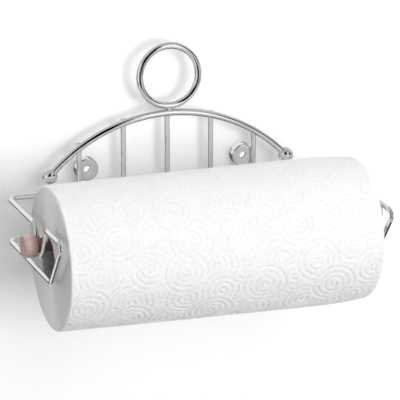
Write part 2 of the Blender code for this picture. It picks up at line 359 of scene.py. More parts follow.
def sweep_wire(name, points, radius, closed=False, sides=28):
    """Round wire along a path; open ends are flat with a small rounded edge."""
    points = np.asarray(points, dtype=float)
    tangents, across, up = path_frames(points, closed)
    radii = np.full(len(points), radius)
    if not closed:
        repeats = [WIRE_END_RINGS] + [1] * (len(points) - 2) + [WIRE_END_RINGS]
        across, up = np.repeat(across, repeats, 0), np.repeat(up, repeats, 0)
        # From the small flat end to the full radius
        turn = np.linspace(0, QUARTER_TURN, WIRE_END_RINGS)[::-1]
        inset = (WIRE_END_EDGE * (1 - np.sin(turn)))[:, None]
        shrunk = radius - WIRE_END_EDGE * (1 - np.cos(turn))
        head = points[0] + tangents[0] * inset
        tail = points[-1] - tangents[-1] * inset[::-1]
        points = np.concatenate([head, points[1:-1], tail])
        radii = np.concatenate([shrunk, radii[1:-1], shrunk[::-1]])
    around = ring_angles(sides)[None, :, None]
    ring = np.cos(around) * across[:, None, :] + np.sin(around) * up[:, None, :]
    vertices = (points[:, None, :] + radii[:, None, None] * ring).reshape(-1, 3)
    quads = grid_faces(len(points), sides, wrap_rows=closed, wrap_columns=True)
    return build_mesh(name, vertices, quads, () if closed else end_caps(len(points), sides))


def turned(name, outline, segments, axis_point, closed):
    """Body of revolution about an X axis through axis_point; outline is a list of (x, radius)."""
    profile = np.array(outline)
    vertices = around_axis(axis_point, profile[:, :1], profile[:, 1:], ring_angles(segments))
    quads = grid_faces(len(outline), segments, wrap_rows=closed, wrap_columns=True)
    caps = [] if closed else [cap[::-1] for cap in end_caps(len(outline), segments)]
    return face_outwards(build_mesh(name, vertices, quads[:, ::-1], caps))


# --- Node helpers ------------------------------------------------
def set_values(node, values):
    """Give inputs constants or other nodes' outputs; a name that no input has is a setting."""
    for key, value in values.items():
        target = node.inputs.get(key.replace("_", " "))
        if target is None:
            setattr(node, key, value)
        elif isinstance(value, bpy.types.NodeSocket):
            join(value, target)
        elif value is not None:
            target.default_value = value


def add_node(material, kind, **values):
    node = material.node_tree.nodes.new(kind)
    set_values(node, values)
    return node


def join(output, target):
    target.id_data.links.new(output, target)


def new_material(name, **values):
    material = bpy.data.materials.new(name)
    material.use_nodes = True
    return plug(material, **values)


def plug(material, **values):
    """Set the inputs of the material's shader, with underscores for the spaces in their names."""
    set_values(material.node_tree.nodes["Principled BSDF"], values)
    return material


def stage_material(name):
    """Material with nothing but its output node, and the input that it shows."""
    material = new_material(name)
    material.node_tree.nodes.clear()
    return material, add_node(material, "ShaderNodeOutputMaterial").inputs["Surface"]


def placed_coordinates(material, centre=(0, 0, 0), scale=(1, 1, 1)):
    """Object coordinates measured from a centre and stretched by a scale for each axis."""
    source = add_node(material, "ShaderNodeTexCoord").outputs["Object"]
    offset = add_node(material, "ShaderNodeVectorMath", operation="SUBTRACT", Vector=source)
    offset.inputs[1].default_value = tuple(centre)
    stretch = add_node(material, "ShaderNodeVectorMath", operation="MULTIPLY",
                       Vector=offset.outputs[0])
    stretch.inputs[1].default_value = scale
    return stretch.outputs[0]


def noise(material, vector, scale, detail=3.0, roughness=0.55):
    return add_node(material, "ShaderNodeTexNoise", Vector=vector, Scale=scale, Detail=detail,
                    Roughness=roughness).outputs["Fac"]


def spread(material, value, low, high, to_low, to_high):
    return add_node(material, "ShaderNodeMapRange", Value=value, From_Min=low, From_Max=high,
                    To_Min=to_low, To_Max=to_high).outputs["Result"]


def ramp(material, value, *stops):
    """Colour for a value, between stops that are each a place and a colour."""
    node = add_node(material, "ShaderNodeValToRGB", Fac=value)
    elements = node.color_ramp.elements
    while len(elements) < len(stops):
        elements.new(0.5)
    for element, (place, colour) in zip(elements, stops):
        element.position = place
        element.color = (*colour, 1)
    return node.outputs["Color"]


def multiply(material, first, second, factor=1.0):
    """One colour times another, only in part if the factor is below 1."""
    return add_node(material, "ShaderNodeMix", data_type="RGBA", blend_type="MULTIPLY",
                    Factor=factor, A=first, B=second).outputs["Result"]


def bump(material, height, strength, distance, before=None):
    return add_node(material, "ShaderNodeBump", Strength=strength, Distance=distance,
                    Height=height, Normal=before).outputs["Normal"]


# --- Camera, stage and light -------------------------------------
def direction(azimuth, elevation):
    """Unit vector from the object: azimuth 0 is -Y and grows towards +X, in degrees."""
    turn, rise = math.radians(azimuth), math.radians(elevation)
    flat = math.cos(rise)
    return Vector((math.sin(turn) * flat, -math.cos(turn) * flat, math.sin(rise)))


def make_camera():
    data = bpy.data.cameras.new("camera")
    data.lens = CAMERA_LENS
    data.sensor_width = CAMERA_SENSOR
    camera = new_object("camera", data)
    camera.location = CAMERA_PLACE
    camera.rotation_euler = (CAMERA_TARGET - CAMERA_PLACE).to_track_quat("-Z", "Y").to_euler()
    bpy.context.scene.camera = camera


def one_sided_material(name, colour, glow=0.0):
    """Matt surface that may glow evenly as well, and is clear when seen from its back."""
    material, surface = stage_material(name)
    matt = add_node(material, "ShaderNodeBsdfDiffuse", Color=(*colour, 1))
    glowing = add_node(material, "ShaderNodeEmission", Strength=glow)
    front = add_node(material, "ShaderNodeAddShader")
    clear = add_node(material, "ShaderNodeBsdfTransparent")
    geometry = add_node(material, "ShaderNodeNewGeometry")
    mix = add_node(material, "ShaderNodeMixShader")
    join(matt.outputs[0], front.inputs[0])
    join(glowing.outputs[0], front.inputs[1])
    join(geometry.outputs["Backfacing"], mix.inputs[0])
    join(front.outputs[0], mix.inputs[1])
    join(clear.outputs[0], mix.inputs[2])
    join(mix.outputs[0], surface)
    return material


def hide_from(thing, *rays):
    for ray in rays:
        setattr(thing, f"visible_{ray}", False)


def add_sheet(name, corners, material):
    mesh = bpy.data.meshes.new(name)
    mesh.from_pydata([tuple(c) for c in corners], [], [tuple(range(len(corners)))])
    mesh.materials.append(material)
    sheet = new_object(name, mesh)
    return sheet


def add_card(name, distance, brightness, shapes):
    """Studio card that shows in reflections only."""
    material, surface = stage_material(name)
    glow = add_node(material, "ShaderNodeEmission", Strength=brightness)
    join(glow.outputs[0], surface)
    material.cycles.emission_sampling = "NONE"
    for number, shape in enumerate(shapes, 1):
        corners = [direction(*corner) * distance for corner in shape]
        card = add_sheet(f"{name}_{number}", corners, material)
        hide_from(card, "camera", "diffuse", "shadow", "transmission")


def add_lamp(name, azimuth, elevation, distance, size, power):
    data = bpy.data.lights.new(name, "AREA")
    data.size = size
    data.energy = power
    lamp = new_object(name, data)
    lamp.location = direction(azimuth, elevation) * distance
    lamp.rotation_euler = (-lamp.location).to_track_quat("-Z", "Y").to_euler()
    hide_from(lamp, "glossy")


def make_backdrop():
    left, right, front = -STAGE_REACH, STAGE_REACH, -STAGE_REACH
    corners = [(left, FLOOR_Z), (right, FLOOR_Z), (right, STAGE_REACH), (left, STAGE_REACH)]
    wall = add_sheet("wall", [(x, WALL_Y, z) for x, z in corners],
                     one_sided_material("wall_paint", WHITE, glow=0.05))
    hide_from(wall, "glossy")

    # Painted light: a glowing disc just in front of the wall behind each screw hole, where the wall
    # itself is too shaded
    painted_hole_light = one_sided_material("painted_hole_light", WHITE, glow=1.0)
    for _, sign in SIDES:
        disc = arc_points((sign * CUP_X, 0), 1.4 * SCREW_HOLE_RADIUS, 0, FULL_TURN, 24)[:-1]
        add_sheet("glowing_hole_backing", [(x, WALL_Y - 0.1 * MM, z) for x, z in disc], painted_hole_light)

    # Two floors: one only bounces light, and the other, evenly lit, is only seen by the camera
    corners = [(left, front), (right, front), (right, WALL_Y), (left, WALL_Y)]
    bounce = add_sheet("bounce_floor", [(x, y, FLOOR_Z - MM) for x, y in corners],
                       one_sided_material("bounce_paint", (0.36, 0.36, 0.355)))
    hide_from(bounce, "camera", "glossy")
    floor = add_sheet("floor", [(x, y, FLOOR_Z) for x, y in corners],
                      one_sided_material("pale_floor", (0.25, 0.25, 0.25), glow=0.6))
    hide_from(floor, "diffuse", "glossy", "shadow")


def make_stage():
    make_backdrop()
    world = bpy.data.worlds.new("studio")
    world.use_nodes = True
    set_values(world.node_tree.nodes["Background"], {"Color": (*WHITE, 1), "Strength": AMBIENT})
    bpy.context.scene.world = world
    world.cycles_visibility.diffuse = False
    bpy.context.scene.view_settings.view_transform = "Standard"
    for lamp in LAMPS:
        add_lamp(*lamp)
    for card in CARDS:
        add_card(*card)


# --- Materials ---------------------------------------------------
def chrome(name, rough_low, rough_high):
    """Bright plated steel: slightly wavy, with duller handled patches and fine draw marks."""
    material = new_material(name, Roughness=rough_low, Metallic=1.0,
                            Base_Color=(0.76, 0.765, 0.775, 1))
    place = placed_coordinates(material)
    patches = noise(material, place, 55, 4.0, 0.6)
    waves = noise(material, place, 120, 2.0)
    grain = noise(material, place, 1400, 2.0)
    normal = bump(material, waves, 0.05, 0.4 * MM)
    return plug(material, Roughness=spread(material, patches, 0.35, 0.7, rough_low, rough_high),
                Normal=bump(material, grain, 0.03, 0.05 * MM, normal))


def beech(name, stain_and_shade):
    """Turned, stained and lacquered beech: flecks along the grain, soft bands, and painted shade
    and highlight along the rod's axis.
    """
    material = new_material(name, Roughness=0.4, Coat_Weight=0.7, Coat_Roughness=0.14,
                            Coat_IOR=1.8)
    along = placed_coordinates(material, (0, ROD_AXIS.y, ROD_AXIS.z), (0.22, 1, 1))
    flecks = noise(material, along, 1500, 4.0, 0.6)
    off_centre = (0, ROD_AXIS.y + 4 * MM, ROD_AXIS.z - 3 * MM)
    bands = noise(material, placed_coordinates(material, off_centre, (0.3, 1, 1)), 180, 3.0)
    fleck_shade = ramp(material, flecks, (0.3, (0.80, 0.76, 0.74)), (0.52, WHITE),
                       (0.75, (1.08, 1.10, 1.12)))
    band_shade = ramp(material, bands, (0.35, (0.86, 0.84, 0.82)), (0.65, WHITE))
    grain = multiply(material, fleck_shade, band_shade, 0.7)

    # Painted shade and highlight: darker towards the roll, where the knob's neck and the rod lie in
    # shade, with a painted highlight band part way out to the face
    position = add_node(material, "ShaderNodeSeparateXYZ", Vector=placed_coordinates(material))
    reach = add_node(material, "ShaderNodeMath", operation="ABSOLUTE", Value=position.outputs["X"])
    outwards = spread(material, reach.outputs[0], ARM_X + 3 * MM, ARM_X + 15 * MM, 0.0, 1.0)
    painted_shade_and_highlight = ramp(material, outwards, (0.0, (0.36, 0.29, 0.27)), (0.34, (0.72, 0.68, 0.67)),
                (0.62, (1.08, 1.10, 1.10)), (0.93, (0.95, 0.95, 0.95)))

    # The base colour is the grain, times the stain, times the painted shade and highlight along the
    # axis
    return plug(material,
                Base_Color=multiply(material, multiply(material, grain, (*stain_and_shade, 1)), painted_shade_and_highlight),
                Roughness=spread(material, flecks, 0.3, 0.7, 0.46, 0.34),
                Normal=bump(material, flecks, 0.12, 0.05 * MM))


def core_board(name):
    """Grey recycled board with fibres and specks."""
    material = new_material(name, Roughness=0.9)
    along = placed_coordinates(material, ROLL_CENTRE, (0.25, 1, 1))
    fibres = noise(material, along, 1100, 5.0, 0.7)
    specks = noise(material, placed_coordinates(material, ROLL_CENTRE), 420, 2.0)
    base = ramp(material, fibres, (0.3, (0.42, 0.415, 0.41)), (0.55, (0.56, 0.555, 0.55)),
                (0.8, (0.66, 0.655, 0.65)))
    speck_tone = ramp(material, specks, (0.30, (0.62, 0.6, 0.58)), (0.42, WHITE))
    return plug(material, Base_Color=multiply(material, base, speck_tone, 0.7),
                Normal=bump(material, fibres, 0.4, 0.15 * MM))


def tissue(name):
    """Creped kitchen tissue: matt white, with crepe lines across the web, loose fibres, and painted
    shade in the embossed pits.
    """
    material = new_material(name, Roughness=0.95, Sheen_Weight=0.15, Sheen_Roughness=0.6,
                            Specular_IOR_Level=0.15)
    place = placed_coordinates(material, ROLL_CENTRE)
    cloud = noise(material, place, 45, 4.0, 0.6)
    fibre = noise(material, place, 2600, 3.0, 0.65)
    crepe = noise(material, placed_coordinates(material, ROLL_CENTRE, (0.12, 1, 1)), 1900, 2.0)
    base = ramp(material, cloud, (0.3, (0.845, 0.845, 0.843)), (0.7, (0.88, 0.88, 0.878)))
    # Painted shade: each pit is darkened by its share, for the shade that falls into it
    pits = add_node(material, "ShaderNodeAttribute", attribute_name="pit_share").outputs["Fac"]
    shade = ramp(material, pits, (0.0, WHITE), (1.0, (0.60, 0.60, 0.60)))
    normal = bump(material, crepe, 0.35, 0.10 * MM)
    return plug(material, Base_Color=multiply(material, base, shade),
                Normal=bump(material, fibre, 0.3, 0.05 * MM, normal))


def tissue_edge(name):
    """Cut ends of the wound tissue: each turn a slightly different white."""
    material = new_material(name, Roughness=0.97, Specular_IOR_Level=0.1)
    length = add_node(material, "ShaderNodeVectorMath", operation="LENGTH",
                      Vector=placed_coordinates(material, ROLL_CENTRE, (0, 1, 1)))
    turns = add_node(material, "ShaderNodeTexNoise", noise_dimensions="1D", Scale=900.0,
                     Detail=3.0, Roughness=0.7, W=length.outputs["Value"])
    fibre = noise(material, placed_coordinates(material, ROLL_CENTRE), 1800, 3.0, 0.7)
    return plug(material,
                Base_Color=ramp(material, turns.outputs["Fac"], (0.3, (0.80, 0.80, 0.80)),
                                (0.7, (0.91, 0.91, 0.905))),
                Normal=bump(material, fibre, 0.35, 0.08 * MM))


# --- Wire frame --------------------------------------------------
def arch_height(x):
    return ARCH_TOP_Z - ARCH_RADIUS + math.sqrt(ARCH_RADIUS**2 - x**2)


def arm_corners(sign):
    lean_cos, lean_sin = math.cos(CRADLE_LEAN), math.sin(CRADLE_LEAN)
    back_wall_y = ROD_AXIS.y + CRADLE_RADIUS
    cradle_z = ROD_AXIS.z - CRADLE_RADIUS * (1 + lean_cos) / lean_sin
    hook_rise = HOOK_TOP_Z - ROD_AXIS.z
    hook_top_y = ROD_AXIS.y - (CRADLE_RADIUS + lean_sin * hook_rise) / lean_cos
    x = sign * ARM_X
    middle = sign * GAP / 2
    return [
        ((middle, REAR_Y, UPPER_Z), 0),
        ((x, REAR_Y, UPPER_Z), REAR_BEND),
        ((x, back_wall_y, UPPER_Z), CRADLE_ENTRY_BEND),
        ((x, back_wall_y, cradle_z), CRADLE_RADIUS),
        ((x, hook_top_y, HOOK_TOP_Z), HOOK_BEND),
        ((x, HOOK_NOSE_Y, HOOK_TOP_Z), HOOK_BEND),
        ((x, HOOK_HEEL_Y, LOWER_Z), HEEL_BEND),
        ((x, REAR_Y, LOWER_Z), REAR_BEND),
        ((middle, REAR_Y, LOWER_Z), 0),
    ]


def upright_ends(number):
    low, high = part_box(f"upright_{number}")
    return (low.x + high.x) / 2, low.z, high.z


def build_wires(material):
    def add_wire(name, replaced, path, radius, **shape):
        mesh = sweep_wire(name, path, radius, **shape)
        add_piece(mesh, material, "frame", "chrome_wire", replaced)

    for side, sign in SIDES:
        path = split_long_runs(bent_path(arm_corners(sign)))
        add_wire(f"bent_arm_{side}", f"arm_wire_{side}", path, THIN_WIRE)

    for number in range(1, UPRIGHT_COUNT + 1):
        x, low_z, high_z = upright_ends(number)
        path = split_long_runs(np.array([(x, UPRIGHT_Y, low_z), (x, UPRIGHT_Y, high_z)]))
        add_wire(f"upright_wire_{number}", f"upright_{number}", path, UPRIGHT_WIRE)

    half = FINIAL_REACH - (FINIAL_RADIUS - SOCKET_DEPTH + GAP) / ARCH_RADIUS
    centre = (0.0, ARCH_TOP_Z - ARCH_RADIUS)
    bow = arc_points(centre, ARCH_RADIUS, QUARTER_TURN + half, QUARTER_TURN - half, BOW_STEPS)
    add_wire("arch_bow", "arch_wire", [(x, ARCH_Y, z) for x, z in bow], STOUT_WIRE,
             sides=STOUT_SIDES)

    ring = arc_points((0.0, RING_Z), RING_RADIUS, 0, FULL_TURN, BOW_STEPS)[:-1]
    add_wire("hanging_ring", "top_ring", [(x, ARCH_Y, z) for x, z in ring], STOUT_WIRE,
             closed=True, sides=STOUT_SIDES)


def build_finials(material):
    """Balls pressed on the arch's ends, each with a rolled collar round the wire."""
    mouth = math.asin((COLLAR_RADIUS + COLLAR_BEAD) / FINIAL_RADIUS)
    outline = arc_points((0, 0), FINIAL_RADIUS, math.pi, mouth, 30)
    neck_x = outline[-1][0]
    outline[0] = (-FINIAL_RADIUS, POINT_RADIUS)
    outline += arc_points((neck_x + 0.1 * MM, COLLAR_RADIUS), COLLAR_BEAD,
                          QUARTER_TURN, -math.pi / 4, 5)
    outline.append((neck_x - 0.5 * MM, STOUT_WIRE))
    for side, sign in SIDES:
        centre = Vector((sign * FINIAL_CENTRE.x, ARCH_Y, FINIAL_CENTRE.z))
        along_arch = Vector((-sign * math.cos(FINIAL_REACH), 0, math.sin(FINIAL_REACH)))
        turn = along_arch.to_track_quat("X", "Z").to_matrix().to_4x4()
        mesh = turned(f"ball_end_{side}", outline, 48, (0, 0, 0), closed=False)
        mesh.transform(Matrix.Translation(centre) @ turn)
        add_piece(mesh, material, "frame", "chrome_ball", f"finial_{side}")


def build_cups(material):
    """Drawn steel cups with a rounded face, an eased screw hole and a rolled foot."""
    front, plate = -CUP_DEPTH, -CUP_DEPTH + CUP_WALL
    inner = CUP_RADIUS - CUP_WALL
    foot, edge, ease, corner = CUP_FOOT, CUP_EDGE, SCREW_HOLE_EASE, CUP_INNER_EDGE
    outline = arc_points((-foot, CUP_RADIUS - foot), foot, 0, QUARTER_TURN, 4)
    outline += arc_points((front + edge, CUP_RADIUS - edge), edge, QUARTER_TURN, math.pi, 8)
    outline += arc_points((front + ease, SCREW_HOLE_RADIUS + ease), ease,
                          math.pi, 3 * QUARTER_TURN, 5)
    outline.append((plate, SCREW_HOLE_RADIUS))
    outline += arc_points((plate + corner, inner - corner), corner, math.pi, QUARTER_TURN, 5)
    outline.append((-foot, inner))
    outline += arc_points((-foot, inner + foot), foot, -QUARTER_TURN, 0, 3)[1:]
    # The axis turns from X to Y, so that the open end faces the wall
    to_wall = Matrix(((0, -1, 0, 0), (1, 0, 0, 0), (0, 0, 1, 0), (0, 0, 0, 1)))
    for side, sign in SIDES:
        mesh = turned(f"wall_cup_{side}", outline, 64, (0, 0, 0), closed=True)
        mesh.transform(Matrix.Translation((sign * CUP_X, 0, 0)) @ to_wall)
        add_piece(mesh, material, "frame", "chrome_cup", f"mounting_cup_{side}")


def add_fillet(name, segments, pinch, ring_at, material):
    """Weld metal as rings of vertices from one surface to another, drawn in half way."""
    rings = []
    for t in np.linspace(0, 1, WELD_RINGS):
        rings.append(np.stack(ring_at(t, 1 - pinch * 4 * t * (1 - t)), -1))
    mesh = build_mesh(name, np.concatenate(rings),
                      grid_faces(WELD_RINGS, segments, wrap_columns=True),
                      end_caps(WELD_RINGS, segments))
    add_piece(face_outwards(mesh), material, "frame", "chrome_wire")


def add_neck(name, x, z, size, front_y, back_y, material):
    """Fillet between two surfaces, each given as its Y at an offset (x, z) from the middle."""
    reach_x, reach_z, pinch = size
    around = ring_angles(24)
    x_off, z_off = reach_x * np.cos(around), reach_z * np.sin(around)
    y_front = front_y(x_off, z_off) - WELD_SINK
    y_back = back_y(x_off, z_off) + WELD_SINK

    def ring_at(t, pull):
        return x + x_off * pull, y_front + (y_back - y_front) * t, z + z_off * pull

    add_fillet(name, len(around), pinch, ring_at, material)


def bulge(radius, offset):
    """How far a round wire's surface stands from its axis, at an offset to the side."""
    return np.sqrt(np.maximum(radius**2 - offset**2, 0.0))


def build_welds(material):
    """Resistance welds: a small fillet wherever two wires, or a wire and a cup, touch."""
    def arch_back(slope):
        return lambda x, z: ARCH_Y + bulge(STOUT_WIRE, z * math.cos(slope) + x * math.sin(slope))

    def upright_front(x, z):
        return UPRIGHT_Y - bulge(UPRIGHT_WIRE, x)

    def upright_back(x, z):
        return UPRIGHT_Y + bulge(UPRIGHT_WIRE, x)

    def cross_back(x, z):
        return REAR_Y + bulge(THIN_WIRE, z)

    def cup_face(x, z):
        return np.full_like(x, -CUP_DEPTH)

    for number in range(1, UPRIGHT_COUNT + 1):
        upright_x = upright_ends(number)[0]
        slope = math.asin(upright_x / ARCH_RADIUS)
        add_neck(f"arch_weld_{number}", upright_x, arch_height(upright_x), ARCH_WELD,
                 arch_back(slope), upright_front, material)
        for label, z in CROSS_WIRES:
            add_neck(f"{label}_weld_{number}", upright_x, z, CROSS_WELD,
                     cross_back, upright_front, material)

    outer_x = (UPRIGHT_COUNT - 1) / 2 * UPRIGHT_PITCH
    for side, sign in SIDES:
        for label, z in (("top", CUP_WELD_Z), ("bottom", -CUP_WELD_Z)):
            add_neck(f"cup_weld_{side}_{label}", sign * outer_x, z, CUP_WELD,
                     upright_back, cup_face, material)


def build_ring_weld(material):
    """Fillet in the valley between the ring and the arch, which meet at the arch's crown."""
    reach_x, reach_y, pinch = RING_WELD
    around = ring_angles(32)
    x_off, y_off = reach_x * np.cos(around), reach_y * np.sin(around)
    sunk = bulge(STOUT_WIRE, y_off) - WELD_SINK
    ring_z = RING_Z - np.sqrt(RING_RADIUS**2 - x_off**2) - sunk
    arch_z = np.array([arch_height(x) for x in x_off]) + sunk

    def ring_at(t, pull):
        return x_off * pull, ARCH_Y + y_off * pull, arch_z + (ring_z - arch_z) * t

    add_fillet("ring_weld", len(around), pinch, ring_at, material)


def build_butt_welds(material):
    """Where the two arm wires meet end to end behind the middle upright."""
    half, swell, steps = 1.3 * MM, 0.35 * MM, 8
    sunk = THIN_WIRE - 0.15 * MM
    outline = [(-half, sunk)]
    for step in range(steps + 1):
        share = step / steps
        outline.append((half * (2 * share - 1), THIN_WIRE + swell * math.sin(math.pi * share)))
    outline.append((half, sunk))
    for label, z in CROSS_WIRES:
        mesh = turned(f"butt_weld_{label}", outline, 32, (0, REAR_Y, z), closed=True)
        add_piece(mesh, material, "frame", "chrome_wire")


# --- Wooden rod and knobs ----------------------------------------
def build_rod(material):
    ease, steps = 0.6 * MM, 60
    outline = [(rod_low.x, ROD_RADIUS - ease), (rod_low.x + ease, ROD_RADIUS)]
    for step in range(1, steps):
        x = rod_low.x + (rod_high.x - rod_low.x) * step / steps
        worn = 0.05 * MM * (1 + math.sin(step * 1.7) * math.sin(step * 0.63))
        outline.append((x, ROD_RADIUS - worn))
    outline += [(rod_high.x - ease, ROD_RADIUS), (rod_high.x, ROD_RADIUS - ease)]
    mesh = turned("wooden_rod", outline, 56, (0, ROD_AXIS.y, ROD_AXIS.z), closed=False)
    add_piece(mesh, material, "rod", "beech_wood", "roller_rod")


def knob_outline(length, radius):
    """Half section of a knob, from the bottom of its bore to the middle of its outer face."""
    bore = ROD_RADIUS + GAP
    chamfer = 0.25 * MM
    outline = [(TENON_DEPTH, POINT_RADIUS), (TENON_DEPTH, bore)]
    outline += [(chamfer, bore), (0, bore + chamfer)]
    outline += arc_points((KNOB_NECK_EDGE, radius - KNOB_NECK_EDGE), KNOB_NECK_EDGE,
                          math.pi, QUARTER_TURN, 12)
    body, body_steps, hollow = length - KNOB_FACE_EDGE - KNOB_NECK_EDGE, 8, 0.12 * MM
    for step in range(1, body_steps):
        share = step / body_steps
        waist = radius - hollow * math.sin(math.pi * share)
        outline.append((KNOB_NECK_EDGE + body * share, waist))
    outline += arc_points((length - KNOB_FACE_EDGE, radius - KNOB_FACE_EDGE), KNOB_FACE_EDGE,
                          QUARTER_TURN, 0, 8)
    face_steps = 12
    for step in range(1, face_steps):
        share = 1 - step / face_steps
        outline.append((length - KNOB_DISH * (1 - share**2), (radius - KNOB_FACE_EDGE) * share))
    return outline + [(length - KNOB_DISH, POINT_RADIUS)]


def build_knobs(material):
    for side, sign in SIDES:
        low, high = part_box(f"knob_{side}")
        inner_x = low.x if sign > 0 else -high.x
        outline = knob_outline(high.x - low.x, (high.z - low.z) / 2)
        mesh = turned(f"end_knob_{side}", [(sign * (inner_x + x), r) for x, r in outline], 72,
                      (0, ROD_AXIS.y, ROD_AXIS.z), closed=False)
        add_piece(mesh, material, "rod", "beech_wood", f"knob_{side}")


# --- Core and paper ----------------------------------------------
def build_core(material):
    """Cardboard tube with eased ends and a spiral liner whose edges leave a fine groove."""
    x0, x1 = core_low.x, core_high.x
    outer, inner = CORE_RADIUS, CORE_RADIUS - CORE_WALL
    seat = inner + LINER
    ease = 0.3 * MM
    outline = [(x0 + ease, outer), (x0, outer - ease), (x0, seat + ease), (x0 + ease, seat)]
    outline += [(x0 + (x1 - x0) * k / CORE_RUNS, seat) for k in range(1, CORE_RUNS)]
    outline += [(x1 - ease, seat), (x1, seat + ease), (x1, outer - ease), (x1 - ease, outer)]
    outline += [(x1 - (x1 - x0) * k / CORE_RUNS, outer) for k in range(1, CORE_RUNS)]
    axis = (0, ROLL_CENTRE.y, ROLL_CENTRE.z)
    mesh = turned("core_tube", outline, CORE_SEGMENTS, axis, closed=True)
    add_piece(mesh, material, "roll", "core_board", "cardboard_core")

    # The liner is a strip wound in a spiral, cut square at the tube's ends
    low_x, high_x = x0 + 0.5 * MM, x1 - 0.5 * MM
    width = LINER_PITCH - LINER_GROOVE
    sunk = seat + 0.1 * MM
    count = int((high_x - low_x + width) / LINER_PITCH * CORE_SEGMENTS)
    steps = np.arange(3, count - 2)[:, None]
    middle = low_x - width / 2 + LINER_PITCH * steps / CORE_SEGMENTS
    left = np.maximum(low_x, middle - width / 2)
    right = np.minimum(high_x, middle + width / 2)
    vertices = around_axis(axis, np.hstack([left, right, right, left]),
                           np.array([inner, inner, sunk, sunk]), FULL_TURN * steps / CORE_SEGMENTS)
    mesh = build_mesh("core_liner", vertices, grid_faces(len(steps), 4, wrap_columns=True),
                      end_caps(len(steps), 4))
    add_piece(face_outwards(mesh), material, "roll", "core_board")


def roll_outer_radius(x):
    """Radius of the outermost turn at x, measured from the roll's middle."""
    squeezed = max(0.0, x - ROLL_HALF + ROLL_SQUEEZE_LENGTH) / ROLL_SQUEEZE_LENGTH
    return ROLL_RADIUS + ROLL_CONE * x / ROLL_HALF - ROLL_SQUEEZE * squeezed**2


def roll_profile(step):
    """Outline of the roll's outside: points and normals as (x, radius), and how flat each is."""
    left, right = -ROLL_HALF + ROLL_LEFT_EDGE, ROLL_HALF - ROLL_RIGHT_EDGE
    points, normals, flat = [], [], []

    def add_edge(edge, centre_x, start, end):
        centre_radius = roll_outer_radius(centre_x) - edge
        steps = max(6, round(edge * QUARTER_TURN / (step * 0.6)))
        for k in range(steps + 1):
            angle = start + (end - start) * k / steps
            out, up = math.cos(angle), math.sin(angle)
            points.append((centre_x + edge * out, centre_radius + edge * up))
            normals.append((out, up))
            flat.append(max(0.0, up) ** 6)

    add_edge(ROLL_LEFT_EDGE, left, math.pi, QUARTER_TURN)
    count = round((right - left) / step)
    for k in range(1, count):
        x = left + (right - left) * k / count
        points.append((x, roll_outer_radius(x)))
        normals.append((0.0, 1.0))
        flat.append(1.0)
    add_edge(ROLL_RIGHT_EDGE, right, QUARTER_TURN, 0)
    return np.array(points), np.array(normals), np.array(flat)


def soft_spot(squared_distance):
    """Depth of a round pit at a squared distance, in pit sizes: 1 in the middle."""
    return np.exp(-squared_distance**1.5)


def emboss(x, arc):
    """Depth of the pattern at positions x along the roll and arc round it, and share of pits."""
    random = np.random.default_rng(11)
    row_pitch = DISC_SPACING * DISC_ROW_SHARE
    centres = []
    for row in range(-1, math.ceil(FULL_TURN * ROLL_RADIUS / row_pitch) + 1):
        for column in range(-1, math.ceil(2 * ROLL_HALF / DISC_SPACING) + 2):
            jitter = random.uniform(-DISC_JITTER, DISC_JITTER, 2) * DISC_SPACING
            place = -ROLL_HALF + (column + 0.5 * (row % 2)) * DISC_SPACING
            phase = random.uniform(0, FULL_TURN)
            centres.append((place + jitter[0], row * row_pitch + jitter[1], phase))
    order = random.permutation(len(centres))
    strength = random.uniform(0, 1, 997)  # how hard each dot is pressed, looked up by its number
    firm = slow_waves(x, arc, 8, 1.0, 120)
    depth = np.zeros_like(x)
    pits = loose_pits(x, arc)
    for index in order:
        centre_x, centre_arc, phase = centres[index]
        rows = np.nonzero(np.abs(x[:, 0] - centre_x) < DISC_RADIUS)[0]
        columns = np.nonzero(np.abs(arc[0, :] - centre_arc) < DISC_RADIUS)[0]
        if not len(rows) or not len(columns):
            continue
        window = np.ix_(rows, columns)
        dx, da = x[window] - centre_x, arc[window] - centre_arc
        distance = np.hypot(dx, da)
        number = np.clip(np.round((distance - FIRST_DOT_RING) / DOT_RING_PITCH), 0, LAST_DOT_RING)
        ring_radius = FIRST_DOT_RING + number * DOT_RING_PITCH
        off_ring = distance - ring_radius
        trough = 0.5 * (1 + np.cos(FULL_TURN * off_ring / DOT_RING_PITCH))
        dots = np.round(FULL_TURN * ring_radius / DOT_PITCH)
        turn = ((np.arctan2(da, dx) + phase * (1 + number)) * dots / FULL_TURN) % dots
        along = ring_radius * (turn % 1.0 - 0.5) * FULL_TURN / dots
        drawn = (np.floor(turn) + 29 * number + index * 61).astype(int) % len(strength)
        pressed = np.clip(1.5 * strength[drawn] - 0.15, 0, 1)
        dot = pressed * soft_spot((along**2 + off_ring**2) / DOT_SIZE**2)
        inside = distance < DISC_RADIUS
        depth[window] = np.where(inside, RIDGE_HEIGHT * firm[window] * trough**1.5, depth[window])
        kept = PITS_LEFT_IN_DISC * pits[window]
        pits[window] = np.where(inside, np.maximum(dot, kept), pits[window])
    return depth + DOT_DEPTH * pits, pits


def loose_pits(x, arc):
    """Scattered pits between the ringed discs: one in most cells of a jittered grid."""
    random = np.random.default_rng(17)
    table = random.uniform(0, 1, (3, 131, 127))
    column = np.floor(x / PIT_CELL).astype(int) % table.shape[1]
    row = np.floor(arc / PIT_CELL).astype(int) % table.shape[2]
    shift_x, shift_arc, chance = table[:, column, row]
    dx = (x / PIT_CELL) % 1.0 - 0.25 - 0.5 * shift_x
    da = (arc / PIT_CELL) % 1.0 - 0.25 - 0.5 * shift_arc
    size = DOT_SIZE / PIT_CELL
    return np.clip(1.6 * chance - 0.3, 0, 1) * soft_spot((dx**2 + da**2) / size**2)


def slow_waves(x, arc, seed, height, pace=55):
    """Gentle unevenness of the wound roll, between 0 and about the given height."""
    random = np.random.default_rng(seed)
    count, crest = 14, 6.0
    total = np.zeros_like(x)
    for _ in range(count):
        along, around = random.normal(0, pace, 2)
        total += np.sin(along * x + around * arc + random.uniform(0, FULL_TURN))
    return height * 0.5 * (1 + total / crest)


